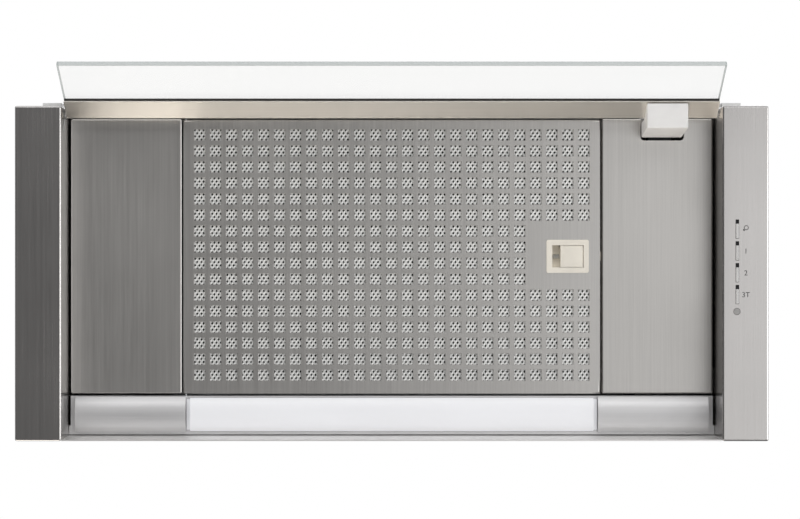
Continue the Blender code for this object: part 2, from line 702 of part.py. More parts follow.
def make_controls():
    housing = make_housing(1, "right_side_housing")
    make_housing(-1, "left_side_housing")
    holder = block("button_holder", (266.0, -50, -173.2), (282.0, 36, -163.0), DARK_PLASTIC, 0.6)
    for i, name in enumerate(BUTTON_NAMES):
        y = button_start(i)
        cut_box(housing, name + "_slot", (BUTTON_X[0], y, UNDERSIDE - 3),
                (BUTTON_X[1], y + BUTTON_SLOT, UNDERSIDE + 4))
        cut_box(holder, name + "_way", (BUTTON_X[0], y + 2.6, UNDERSIDE - 3),
                (BUTTON_X[1], y + BUTTON_SLOT, -160))
        key_y = y + BUTTON_SLOT - BUTTON_KEY - GAP
        slide = pivot(name + "_axis", (sum(BUTTON_X) / 2, key_y + BUTTON_KEY / 2, UNDERSIDE))
        key = block(name, (BUTTON_X[0] + GAP, key_y, -176.0),
                    (BUTTON_X[1] - GAP, key_y + BUTTON_KEY, -160.6), GREY_PLASTIC,
                    parent=slide)
        rounded(key, 0.35)
    x, y = INDICATOR_AT
    cut_rod(housing, "indicator_hole", (x, y, UNDERSIDE - 3), (x, y, UNDERSIDE + 3), 2.8)
    cut_rod(holder, "indicator_way", (x, y, UNDERSIDE - 3), (x, y, -160), 2.9)
    rod("indicator_lens", (x, y, -175.3), (x, y, -163.5), 2.5, GREY_PLASTIC, 24)
    board = block("control_board", (265.5, -52, -158.6), (296.0, 44, -157.0), BOARD)
    for i in range(len(BUTTON_NAMES)):
        y = button_start(i) + BUTTON_SLOT - BUTTON_KEY / 2 - GAP
        join_box(board, f"tact_switch_{i + 1}", (270.0, y - 4, -158.0), (278.0, y + 4, -152.0))


def make_microswitch():
    body = block("microswitch", (209.0, -121.0, -122.0), (229.0, -106.0, -110.0), DARK_PLASTIC,
                 0.5)
    cut_rod(body, "plunger_bore", (219, -114, -126), (219, -114, -116), 2.0, 16)
    slide = pivot("plunger_axis", (219, -114, -125))
    rod("switch_plunger", (219, -114, -129.0), (219, -114, -118.5), 1.7, WHITE_PLASTIC, 16,
        parent=slide)


# Blower --------------------------------------------------------------------------

def scroll_outline(offset=0.0):
    """The spiral wall seen from above, from the outlet's rear edge to its tongue."""
    bx, by = BLOWER
    mouth = -26.0
    points = [(mouth, by + SCROLL_LARGE + offset)]
    count = 18
    for i in range(count + 1):
        share = i / count
        angle = math.radians(90 - 270 * share)
        radius = SCROLL_LARGE + (SCROLL_SMALL - SCROLL_LARGE) * share + offset
        points.append((bx + radius * math.cos(angle), by + radius * math.sin(angle)))
    points.append((mouth, by - offset))
    return points


def make_scroll():
    wall_line = scroll_outline()

    def build(shape):
        rows = []
        for z in (BLOWER_FLOOR + 1.5 + GAP, BLOWER_ROOF - 1.5 - GAP):
            rows.append([shape.verts.new((x * MM, y * MM, z * MM)) for x, y in wall_line])
        for i in range(len(wall_line) - 1):
            shape.faces.new((rows[0][i], rows[0][i + 1], rows[1][i + 1], rows[1][i]))

    wall = add("scroll_wall", mesh_of("scroll_wall", build), ZINC)
    sheet = wall.modifiers.new("sheet", "SOLIDIFY")
    sheet.thickness = 1.0 * MM
    sheet.offset = 0.0
    edge = scroll_outline(5.0)
    bx, by = BLOWER
    inlet = circle(bx, by, 66.0, 40)
    plate("scroll_inlet_plate", [edge, inlet], 0.75, ZINC, at=(0, 0, BLOWER_FLOOR + 0.75))
    shaft_hole = circle(bx, by, 12.0, 24)
    plate("scroll_roof_plate", [edge, shaft_hole], 0.75, ZINC, at=(0, 0, BLOWER_ROOF - 0.75))
    ring = [(65.6, -2.0), (65.6, 8.0), (64.4, 8.0), (61.0, 1.0), (61.0, -2.0)]
    turned("inlet_ring", ring, DARK_PLASTIC, (bx, by, BLOWER_FLOOR))


def make_outlet():
    """The box that turns the air up, and the round collar with its two flaps."""
    ox, oy = OUTLET
    by = BLOWER[1]
    low = (ox - 68, by - 6, BLOWER_FLOOR)
    high = (-27.0, by + SCROLL_LARGE + 4, -3.2)
    box = block("outlet_box", low, high, ZINC)
    cut_box(box, "outlet_box_inside", [v + 1.2 for v in low], [v - 1.2 for v in high])
    cut_box(box, "outlet_box_inlet", (high[0] - 5, by + 1, BLOWER_FLOOR + 2),
            (high[0] + 5, by + SCROLL_LARGE - 1, BLOWER_ROOF - 2))
    cut_rod(box, "outlet_box_mouth", (ox, oy, -12), (ox, oy, 5), COLLAR_RADIUS - 3, 40)
    r = COLLAR_RADIUS
    collar = [(r + 7, -2.8), (r + 7, -1.4), (r, -1.4), (r, COLLAR_HEIGHT - 1),
              (r - 0.6, COLLAR_HEIGHT), (r - 1.6, COLLAR_HEIGHT), (r - 1.6, -2.8)]
    turned("outlet_collar", collar, DARK_PLASTIC, (ox, oy, 0), 48)
    rod("flap_pin", (ox, oy - r + 2.2, FLAP_LEVEL), (ox, oy + r - 2.2, FLAP_LEVEL), 1.3, ZINC,
        12)
    for side, name in ((-1, "outlet_flap_left"), (1, "outlet_flap_right")):
        axis = pivot(name + "_axis", (ox + side * 2.2, oy, FLAP_LEVEL))
        reach = r - 2.4
        start = math.acos(1.8 / reach)
        arc = [(reach * math.cos(a), reach * math.sin(a))
               for a in [-start + 2 * start * i / 22 for i in range(23)]]
        outline = [(ox + side * x, oy + y) for x, y in arc]
        plate(name, [outline], 0.5, DARK_PLASTIC, at=(0, 0, FLAP_LEVEL), parent=axis)


def make_impeller():
    """A forward-curved drum: back plate with hub, blades and a rim ring, in one piece."""
    bx, by = BLOWER
    axis = pivot("impeller_axis", (bx, by, -74))
    top, foot = -50.0, -98.0
    inner, outer = IMPELLER_RADIUS - 16, IMPELLER_RADIUS
    wheel = turned("impeller", [(4.3, 2.0), (4.3, -8.0), (12.0, -8.0), (12.0, 0.0),
                                (outer, 0.0), (outer, 2.0)], DARK_PLASTIC,
                   (bx, by, top), 48, axis)
    rim = turned("impeller_rim", [(outer, 4.0), (outer, 0.0), (outer - 5, 0.0), (outer - 5, 4.0)],
                 None, (bx, by, foot), 48, axis)
    vanes = []
    for i in range(BLADES):
        angle = 2 * math.pi * i / BLADES
        mid = (inner + outer - 1.5) / 2
        size = ((outer - 1.5 - inner) * MM, 1.4 * MM, (top - foot + 0.5) * MM)

        def build(shape, size=size):
            bmesh.ops.create_cube(shape, size=1.0, matrix=Matrix.Diagonal((*size, 1.0)))

        vane = cutter(f"vane_{i}", mesh_of(f"vane_{i}", build),
                      (bx + mid * math.cos(angle), by + mid * math.sin(angle),
                       (top + foot + 1.5) / 2), axis)
        vane.rotation_euler = (0, 0, angle + math.radians(35))
        vanes.append(vane)
    hood.objects.unlink(rim)
    cutters.objects.link(rim)
    boolean(wheel, rim, "UNION")
    for vane in vanes:
        boolean(wheel, vane, "UNION")
    rod("motor_shaft", (bx, by, -62), (bx, by, -9.5), 4.0, ZINC, 20, 0.5, axis)


def make_motor():
    bx, by = BLOWER
    r = MOTOR_RADIUS
    case = [(r, -8.0), (r, -33.0), (r - 3, -36.0), (8.5, -36.0), (8.5, -34.5), (r - 4, -34.5),
            (r - 1.2, -32.0), (r - 1.2, -8.0)]
    turned("motor_case", case, ZINC, (bx, by, 0), 40)
    stator = [(r - 2, -10), (r - 2, -31.0), (22.0, -31.0), (22.0, -10)]
    turned("motor_stator", stator, COPPER, (bx, by, 0), 32)
    cap = [(r + 10, -5.0), (r + 10, -7.0), (9.0, -7.0), (9.0, -5.0)]
    end_cap = turned("motor_end_cap", cap, ZINC, (bx, by, 0), 40)
    for i in range(3):
        angle = math.radians(90 + 120 * i)
        x = bx + (r + 6) * math.cos(angle)
        y = by + (r + 6) * math.sin(angle)
        join_rod(end_cap, f"motor_post_{i + 1}", (x, y, BLOWER_ROOF + GAP), (x, y, -6.0), 3.2, 12)


# Wiring and small fittings ---------------------------------------------------------

def make_electrics():
    block("terminal_box", (205, 28, -34), (262, 82, -3), DARK_PLASTIC, 2.0)
    rod("motor_capacitor", (200, -6, -20), (250, -6, -20), 15.0, WHITE_PLASTIC, 24)
    x, y = GLAND_AT
    profile = [(5.9, 8.0), (5.9, -1.4), (9.5, -1.4), (9.5, -5.0), (5.9, -5.0),
               (5.9, -9.0), (4.2, -9.0), (4.2, 9.0), (5.2, 9.0)]
    turned("cable_gland", profile, DARK_PLASTIC, (x, y, 0), 24)


def main():
    make_carcass()
    make_controls()
    make_apron()
    make_cross_member()
    make_blank_panel(-1, "left_blank_panel")
    make_blank_panel(1, "right_blank_panel")
    make_lamp_strip()
    make_lamp()
    make_visor()
    for side, word in ((-1, "left"), (1, "right")):
        make_hinge_block(side, f"visor_hinge_block_{word}")
    make_visor_spring(-1, "visor_spring")
    make_filter()
    make_microswitch()
    make_scroll()
    make_outlet()
    make_impeller()
    make_motor()
    make_electrics()


main()
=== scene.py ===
import json
import math
import bmesh
import bpy
from mathutils import Matrix, Vector


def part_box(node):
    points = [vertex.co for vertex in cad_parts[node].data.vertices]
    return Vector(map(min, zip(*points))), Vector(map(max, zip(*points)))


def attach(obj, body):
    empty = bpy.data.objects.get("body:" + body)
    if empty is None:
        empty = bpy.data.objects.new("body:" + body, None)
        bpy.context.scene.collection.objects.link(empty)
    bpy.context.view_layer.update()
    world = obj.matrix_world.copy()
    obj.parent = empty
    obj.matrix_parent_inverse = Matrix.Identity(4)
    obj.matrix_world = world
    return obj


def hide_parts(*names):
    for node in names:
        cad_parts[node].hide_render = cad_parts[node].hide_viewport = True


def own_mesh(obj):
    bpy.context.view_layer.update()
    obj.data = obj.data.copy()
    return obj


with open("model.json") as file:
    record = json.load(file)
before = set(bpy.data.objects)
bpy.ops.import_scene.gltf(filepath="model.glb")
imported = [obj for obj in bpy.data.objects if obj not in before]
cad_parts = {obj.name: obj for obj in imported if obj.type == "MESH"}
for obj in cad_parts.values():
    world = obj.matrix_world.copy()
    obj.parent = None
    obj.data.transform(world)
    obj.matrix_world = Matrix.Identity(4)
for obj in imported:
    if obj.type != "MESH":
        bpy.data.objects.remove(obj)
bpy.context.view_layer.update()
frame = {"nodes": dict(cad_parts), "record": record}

# Filter windows: a square grid centred across the plate, left out around the latch
WINDOW_PITCH = 0.013
WINDOW = 0.009
COLUMNS = 25
ROWS = 16
FIRST_ROW = 0.0121          # from the plate's front edge to the first row's centre
BLANK_FROM_COLUMN = 21
BLANK_ROWS = (6, 10)
SHEET = 0.001
PLATE_FOLD = 0.0013         # radius of the plate's bend
PLATE_EDGE = 0.00028        # rounding of its windows' edges
LATCH_INSET = 0.002         # how far the latch's flange laps over the plate
SAME = 1e-6                 # two places closer than this are one
BOLT_SLOT_HALF_Y = 0.0045   # the slot in the plate's right wall that the latch bolt uses
BOLT_SLOT_BELOW = 0.0038    # from the slider's top
BOLT_SLOT_ABOVE = 0.0004

# Expanded aluminium: staggered diamonds
STRAND_PITCH = 0.0035
ROW_PITCH = 0.00262
HOLE_HALF_X = 0.00098
HOLE_HALF_Y = 0.00122
STRAND = 0.0003
TWIST = 0.00014
MESH_CLEAR = 0.0025         # kept free around the mesh and the latch
MESH_DEPTH = 0.0006         # how far the sheet lies inside the filter pack's faces
BACK_LIFT = 0.0003
BEDDING_DEPTH = 0.0018
BEDDING_EDGE = 0.0006

# Legends printed beside the keys
LEGEND_HEIGHT = 0.0058
LEGEND_HALF = 0.00006       # half the ink's thickness
DIGIT_FROM_KEY = (0.0057, -0.0011)
SIGN_FROM_KEY = (0.0060, -0.0026)
SIGN_OUTER = 0.0019
SIGN_INNER = 0.0014
SIGN_BASE = (0.0016, 0.0010)

# Steel grain: noise scales along and across the rolling direction
HAIR_ALONG, HAIR_ACROSS = 28.0, 4200.0
STREAK_ALONG, STREAK_ACROSS = 5.0, 620.0

# Stage
FLOOR_LEVEL = -3.6
FLOOR_HALF = 9.0
FLOOR_SEEN = (0.80, 0.80, 0.80)
FLOOR_RETURN = (0.18, 0.18, 0.18)
WORLD_BELOW = 0.05          # the backdrop's light from below and from above
WORLD_ABOVE = 0.55
MIDDLE = (0, 0, -0.15)      # the underside, which the lights face
CAMERA_AT = (0.0, -0.0147, -1.975)
CAMERA_SHIFT = (0.0103, -0.0056)
FOCAL_LENGTH = 102.16


# Node helpers ------------------------------------------------------------------

def new_material(name, colour, roughness, metallic=0.0):
    made = bpy.data.materials.new(name)
    made.use_nodes = True
    shader = made.node_tree.nodes["Principled BSDF"]
    shader.inputs["Base Color"].default_value = (*colour, 1.0)
    shader.inputs["Roughness"].default_value = roughness
    shader.inputs["Metallic"].default_value = metallic
    return made, shader


class Tree:
    """Short calls for the nodes that the materials share."""

    def __init__(self, material):
        self.tree = material.node_tree
        self.place = self.node("ShaderNodeTexCoord").outputs["Object"]

    def node(self, kind):
        return self.tree.nodes.new(kind)

    def link(self, a, b):
        self.tree.links.new(a, b)

    def stretched(self, scale):
        mapping = self.node("ShaderNodeMapping")
        mapping.inputs["Scale"].default_value = scale
        self.link(self.place, mapping.inputs["Vector"])
        return mapping.outputs["Vector"]

    def noise(self, scale, detail, place=None):
        made = self.node("ShaderNodeTexNoise")
        made.inputs["Scale"].default_value = scale
        made.inputs["Detail"].default_value = detail
        self.link(place or self.place, made.inputs["Vector"])
        return made.outputs["Fac"]

    def ramp(self, factor, low, high, start=0.3, end=0.7):
        """Runs from one colour to another as the factor goes from start to end."""
        made = self.node("ShaderNodeValToRGB")
        made.color_ramp.elements[0].position = start
        made.color_ramp.elements[1].position = end
        made.color_ramp.elements[0].color = (*low, 1.0)
        made.color_ramp.elements[1].color = (*high, 1.0)
        self.link(factor, made.inputs["Fac"])
        return made.outputs["Color"]

    def spread(self, factor, low, high):
        """Stretches the middle of a noise over a range of values."""
        made = self.node("ShaderNodeMapRange")
        made.inputs["From Min"].default_value = 0.3
        made.inputs["From Max"].default_value = 0.7
        made.inputs["To Min"].default_value = low
        made.inputs["To Max"].default_value = high
        self.link(factor, made.inputs["Value"])
        return made.outputs["Result"]

    def mixed(self, a, b, share=0.5):
        made = self.node("ShaderNodeMix")
        made.inputs["Factor"].default_value = share
        self.link(a, made.inputs["A"])
        self.link(b, made.inputs["B"])
        return made.outputs["Result"]

    def bump(self, height, shader, strength, distance):
        made = self.node("ShaderNodeBump")
        made.inputs["Strength"].default_value = strength
        made.inputs["Distance"].default_value = distance
        self.link(height, made.inputs["Height"])
        self.link(made.outputs["Normal"], shader.inputs["Normal"])


def brushed_steel(name, colour, along, roughness=0.33, tone=0.10, relief=0.22, metallic=1.0):
    """Rolled steel with a grain along one axis, and a sheen that is faintly cloudy."""
    made, shader = new_material(name, colour, roughness, metallic)
    tree = Tree(made)
    fine = [HAIR_ALONG if axis == along else HAIR_ACROSS for axis in "XYZ"]
    wide = [STREAK_ALONG if axis == along else STREAK_ACROSS for axis in "XYZ"]
    hair = tree.noise(1.0, 3.0, tree.stretched(fine))
    streak = tree.noise(1.0, 2.0, tree.stretched(wide))
    cloud = tree.noise(9.0, 3.0)
    grain = tree.mixed(hair, streak, 0.45)
    dark = [c * (1 - tone) for c in colour]
    light = [min(1.0, c * (1 + tone * 0.7)) for c in colour]
    tree.link(tree.ramp(grain, dark, light), shader.inputs["Base Color"])
    rough = tree.mixed(grain, cloud, 0.4)
    tree.link(tree.spread(rough, roughness - 0.05, roughness + 0.08),
              shader.inputs["Roughness"])
    tree.bump(grain, shader, relief, 0.00006)
    return made


def zinc(name, colour):
    """Galvanised sheet with its spangle."""
    roughness = 0.45
    made, shader = new_material(name, colour, roughness, 1.0)
    tree = Tree(made)
    spangle = tree.node("ShaderNodeTexVoronoi")
    spangle.inputs["Scale"].default_value = 160.0
    tree.link(tree.place, spangle.inputs["Vector"])
    fleck = tree.mixed(spangle.outputs["Distance"], tree.noise(60.0, 4.0), 0.5)
    dark = [c * 0.82 for c in colour]
    light = [min(1.0, c * 1.12) for c in colour]
    tree.link(tree.ramp(fleck, dark, light, 0.25, 0.75), shader.inputs["Base Color"])
    tree.link(tree.spread(fleck, roughness - 0.08, roughness + 0.1),
              shader.inputs["Roughness"])
    tree.bump(fleck, shader, 0.1, 0.0001)
    return made


def moulded(name, colour, roughness, grain=900.0):
    """Injection-moulded plastic with a fine spark-eroded texture and faint soiling."""
    made, shader = new_material(name, colour, roughness)
    tree = Tree(made)
    spark = tree.noise(grain, 2.0)
    cloud = tree.noise(45.0, 3.0)
    dark = [c * 0.93 for c in colour]
    light = [min(1.0, c * 1.03) for c in colour]
    tree.link(tree.ramp(cloud, dark, light), shader.inputs["Base Color"])
    tree.link(tree.spread(tree.mixed(spark, cloud), roughness - 0.06, roughness + 0.08),
              shader.inputs["Roughness"])
    tree.bump(spark, shader, 0.25, 0.00008)
    return made


def aluminium(name, colour, roughness, metallic=1.0):
    """Rolled aluminium, mottled on a very small scale."""
    made, shader = new_material(name, colour, roughness, metallic)
    tree = Tree(made)
    fleck = tree.noise(700.0, 3.0)
    dark = [c * 0.88 for c in colour]
    tree.link(tree.ramp(fleck, dark, colour), shader.inputs["Base Color"])
    tree.link(tree.spread(fleck, roughness - 0.06, roughness + 0.12),
              shader.inputs["Roughness"])
    tree.bump(fleck, shader, 0.2, 0.0001)
    return made


def glass(name, colour, cover, roughness=0.03):
    """Thin clear glass: mostly see-through, with the sheen of its surface."""
    made, shader = new_material(name, colour, roughness)
    shader.inputs["Alpha"].default_value = cover
    shader.inputs["IOR"].default_value = 1.5
    tree = Tree(made)
    haze = tree.noise(14.0, 4.0)
    tree.link(tree.spread(haze, roughness, roughness + 0.05), shader.inputs["Roughness"])
    return made


def opal(name, colour, painted_glow):
    """Ribbed opal plastic with a painted glow: an even emission brightens it as if light shone
    through it.
    """
    made, shader = new_material(name, colour, 0.32)
    # Painted glow: this emission brightens the plastic with no lamp lit behind it
    shader.inputs["Emission Color"].default_value = (0.95, 0.96, 1.0, 1.0)
    shader.inputs["Emission Strength"].default_value = painted_glow
    tree = Tree(made)
    rib = tree.noise(1.0, 1.0, tree.stretched((2.0, 420.0, 2.0)))
    cloud = tree.noise(20.0, 2.0)
    dark = [c * 0.95 for c in colour]
    tree.link(tree.ramp(tree.mixed(rib, cloud), dark, colour), shader.inputs["Base Color"])
    tree.link(tree.spread(cloud, 0.26, 0.4), shader.inputs["Roughness"])
    tree.bump(rib, shader, 0.12, 0.0002)
    return made


def board(name):
    """Green circuit board with a pattern of tracks."""
    made, shader = new_material(name, (0.03, 0.16, 0.06), 0.4)
    tree = Tree(made)
    brick = tree.node("ShaderNodeTexBrick")
    brick.inputs["Scale"].default_value = 90.0
    brick.inputs["Color1"].default_value = (0.03, 0.16, 0.06, 1.0)
    brick.inputs["Color2"].default_value = (0.04, 0.20, 0.08, 1.0)
    brick.inputs["Mortar"].default_value = (0.10, 0.30, 0.12, 1.0)
    tree.link(tree.place, brick.inputs["Vector"])
    tree.link(brick.outputs["Color"], shader.inputs["Base Color"])
    return made


def winding(name):
    """Copper wire laid in turns."""
    made, shader = new_material(name, (0.55, 0.25, 0.10), 0.35, 1.0)
    tree = Tree(made)
    wires = tree.noise(1.0, 1.0, tree.stretched((300.0, 300.0, 1800.0)))
    tree.link(tree.ramp(wires, (0.30, 0.12, 0.05), (0.72, 0.36, 0.16)),
              shader.inputs["Base Color"])
    tree.bump(wires, shader, 0.5, 0.0003)
    return made


STEEL_Y = brushed_steel("steel_grain_y", (0.60, 0.585, 0.565), "Y")
# A darker copy of the grain-Y steel for the side housings: its lower tone is painted shade
STEEL_HOUSING_SHADED = brushed_steel("steel_housing_painted_shade", (0.51, 0.495, 0.485), "Y", 0.22)
STEEL_X = brushed_steel("steel_grain_x", (0.83, 0.80, 0.75), "X", 0.30, 0.04, 0.08)
STEEL_BRIGHT = brushed_steel("steel_bright", (0.73, 0.725, 0.73), "X", 0.50, 0.05,
                             metallic=0.85)
# A lighter copy of the steel for the rear apron: its near-white colour is a painted highlight
# along the lip
STEEL_APRON_HIGHLIT = brushed_steel("steel_apron_painted_highlight", (0.90, 0.89, 0.88), "X", 0.42, 0.05, metallic=0.8)
STEEL_CASING = brushed_steel("steel_casing", (0.60, 0.59, 0.57), "X", 0.36)
GREEN_GLASS = glass("glass_edge", (0.44, 0.49, 0.48), 0.7, 0.25)
CLEAR_GLASS = glass("glass_face", (0.90, 0.925, 0.915), 0.11)
KEY_GREY = moulded("key_grey", (0.66, 0.655, 0.65), 0.45)
MATERIALS = {
    "brushed_steel": STEEL_Y,
    "galvanised_steel": zinc("zinc_sheet", (0.52, 0.53, 0.54)),
    "aluminium_mesh": aluminium("mesh_aluminium", (0.99, 0.99, 0.97), 0.34, 0.35),
    "bright_aluminium": aluminium("reflector_aluminium", (0.88, 0.88, 0.88), 0.15),
    "tempered_glass": CLEAR_GLASS,
    "black_rubber": moulded("rubber_seal", (0.022, 0.02, 0.018), 0.6, 1400.0),
    "cream_plastic": moulded("cream_moulding", (0.95, 0.90, 0.80), 0.42),
    "light_grey_plastic": moulded("grey_moulding", (0.93, 0.92, 0.91), 0.48),
    "white_plastic": moulded("white_moulding", (0.91, 0.91, 0.90), 0.45),
    "dark_plastic": moulded("dark_moulding", (0.028, 0.028, 0.032), 0.5),
    # The last numbers of these two opal finishes set their painted glow
    "opal_lens": opal("lens_opal", (0.90, 0.90, 0.92), 0.17),
    "lamp_glass": opal("tube_opal", (0.93, 0.93, 0.93), 0.3),
    "circuit_board": board("board_green"),
    "copper_winding": winding("winding_copper"),
}
NODE_MATERIALS = {
    "visor_rail": STEEL_X, "rear_apron": STEEL_APRON_HIGHLIT, "lamp_base_plate": STEEL_BRIGHT,
    "lamp_cover_left": STEEL_BRIGHT, "lamp_cover_right": STEEL_BRIGHT,
    "carcass": STEEL_CASING, "front_cross_member": STEEL_CASING,
    "left_side_housing": STEEL_HOUSING_SHADED, "right_side_housing": STEEL_HOUSING_SHADED,
    "indicator_lens": moulded("indicator_grey", (0.36, 0.355, 0.35), 0.4),
    "button_lamp": KEY_GREY, "button_speed_1": KEY_GREY, "button_speed_2": KEY_GREY,
    "button_speed_3": KEY_GREY,
}
SLOTS = {part["node"]: part["material_slot"] for part in frame["record"]["subparts"]}
BODY_OF = {node: body for body, nodes in frame["record"]["behaviour"]["bodies"].items()
           for node in nodes}


# Piece helpers -------------------------------------------------------------------

def put(name, mesh, material, body):
    """Links a mesh as a piece that moves with a body and takes a slot's finish."""
    made = bpy.data.objects.new(name, mesh)
    bpy.context.scene.collection.objects.link(made)
    if material is not None:
        mesh.materials.append(material)
    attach(made, body)
    return made


def build_mesh(name, build):
    mesh = bpy.data.meshes.new(name)
    shape = bmesh.new()
    build(shape)
    shape.to_mesh(mesh)
    shape.free()
    return mesh


def smooth(made):
    """Rounds the shading of bends, and keeps the big faces flat between them."""
    made.data.shade_smooth()
    made.data.set_sharp_from_angle(angle=math.radians(32))
    level = made.modifiers.new("flat_faces", "WEIGHTED_NORMAL")
    level.weight = 100
    level.keep_sharp = True
    return made


def skin(node):
    """A smooth-shaded copy of a CAD node, welded, in the finish its slot names."""
    source = frame["nodes"][node].data
    mesh = source.copy()
    mesh.materials.clear()
    shape = bmesh.new()
    shape.from_mesh(mesh)
    bmesh.ops.remove_doubles(shape, verts=shape.verts, dist=0.000002)
    bmesh.ops.dissolve_limit(shape, angle_limit=math.radians(0.5), verts=shape.verts,
                             edges=shape.edges)
    shape.to_mesh(mesh)
    shape.free()
    slot = SLOTS[node]
    made = put(node + "_finish", mesh, NODE_MATERIALS.get(node, MATERIALS[slot]),
               BODY_OF[node])
    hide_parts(node)
    return smooth(made)


def add_bevel(made, width, segments=2, angle=30):
    step = made.modifiers.new("edges", "BEVEL")
    step.width = width
    step.segments = segments
    step.limit_method = "ANGLE"
    step.angle_limit = math.radians(angle)


# Pieces ---------------------------------------------------------------------------

def cut_bolt_slot(shape, wall_x):
    """Opens the slot in the plate's right wall that the latch bolt passes through."""
    low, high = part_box("latch_slider")
    middle = (low.y + high.y) / 2
    slot_y = (middle - BOLT_SLOT_HALF_Y, middle + BOLT_SLOT_HALF_Y)
    slot_z = (high.z - BOLT_SLOT_BELOW, high.z + BOLT_SLOT_ABOVE)
    cuts = [((0, y, 0), (0, 1, 0)) for y in slot_y] + [((0, 0, z), (0, 0, 1)) for z in slot_z]

    def wall():
        return [f for f in shape.faces if all(abs(v.co.x - wall_x) < SAME for v in f.verts)]

    for place, direction in cuts:
        faces = wall()
        edges = dict.fromkeys(e for f in faces for e in f.edges)
        points = dict.fromkeys(v for f in faces for v in f.verts)
        bmesh.ops.bisect_plane(shape, geom=[*faces, *edges, *points], dist=SAME,
                               plane_co=place, plane_no=direction)
    inside = []
    for face in wall():
        at = face.calc_center_median()
        if slot_y[0] < at.y < slot_y[1] and slot_z[0] < at.z < slot_z[1]:
            inside.append(face)
    bmesh.ops.delete(shape, geom=inside, context="FACES")


def make_front_plate():
    """The filter's folded plate, with its square windows cut through."""
    low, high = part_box("filter_front_plate")
    latch_low, latch_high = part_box("latch_frame")
    opening = ((latch_low.x + LATCH_INSET, latch_high.x - LATCH_INSET),
               (latch_low.y + LATCH_INSET, latch_high.y - LATCH_INSET))
    columns = [(i - (COLUMNS - 1) / 2) * WINDOW_PITCH for i in range(COLUMNS)]
    rows = [low.y + FIRST_ROW + i * WINDOW_PITCH for i in range(ROWS)]
    half = WINDOW / 2
    xs = sorted([low.x, high.x, *opening[0]] + [c + s * half for c in columns for s in (-1, 1)])
    ys = sorted([low.y, high.y, *opening[1]] + [r + s * half for r in rows for s in (-1, 1)])

    def is_hole(x, y):
        if opening[0][0] < x < opening[0][1] and opening[1][0] < y < opening[1][1]:
            return True
        for i, column in enumerate(columns):
            for j, row in enumerate(rows):
                blank = i >= BLANK_FROM_COLUMN and BLANK_ROWS[0] <= j < BLANK_ROWS[1]
                if not blank and abs(x - column) < half and abs(y - row) < half:
                    return True
        return False

    def build(shape):
        grid = [[shape.verts.new((x, y, low.z)) for y in ys] for x in xs]
        for i in range(len(xs) - 1):
            for j in range(len(ys) - 1):
                if not is_hole((xs[i] + xs[i + 1]) / 2, (ys[j] + ys[j + 1]) / 2):
                    shape.faces.new((grid[i][j], grid[i][j + 1], grid[i + 1][j + 1],
                                     grid[i + 1][j]))
        loose = [v for v in shape.verts if not v.link_faces]
        bmesh.ops.delete(shape, geom=loose, context="VERTS")
        sides = ((0, low.x), (0, high.x), (1, low.y), (1, high.y))
        rim = [e for e in shape.edges if e.is_boundary and any(
            all(abs(v.co[axis] - side) < SAME for v in e.verts) for axis, side in sides)]
        grown = bmesh.ops.extrude_edge_only(shape, edges=rim)["geom"]
        for v in grown:
            if isinstance(v, bmesh.types.BMVert):
                v.co.z = high.z
        bmesh.ops.bevel(shape, geom=rim, offset=PLATE_FOLD, segments=3, affect="EDGES",
                        profile=0.5)
        cut_bolt_slot(shape, high.x)
        bmesh.ops.recalc_face_normals(shape, faces=shape.faces)
        if sum(f.normal.z * f.calc_area() for f in shape.faces) > 0:
            bmesh.ops.reverse_faces(shape, faces=shape.faces)

    plate = put("filter_perforated_plate", build_mesh("perforated_plate", build), STEEL_Y,
                "filter")
    sheet = plate.modifiers.new("sheet", "SOLIDIFY")
    sheet.thickness = SHEET
    sheet.offset = -1.0
    add_bevel(plate, PLATE_EDGE, 1, 40)
    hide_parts("filter_front_plate")


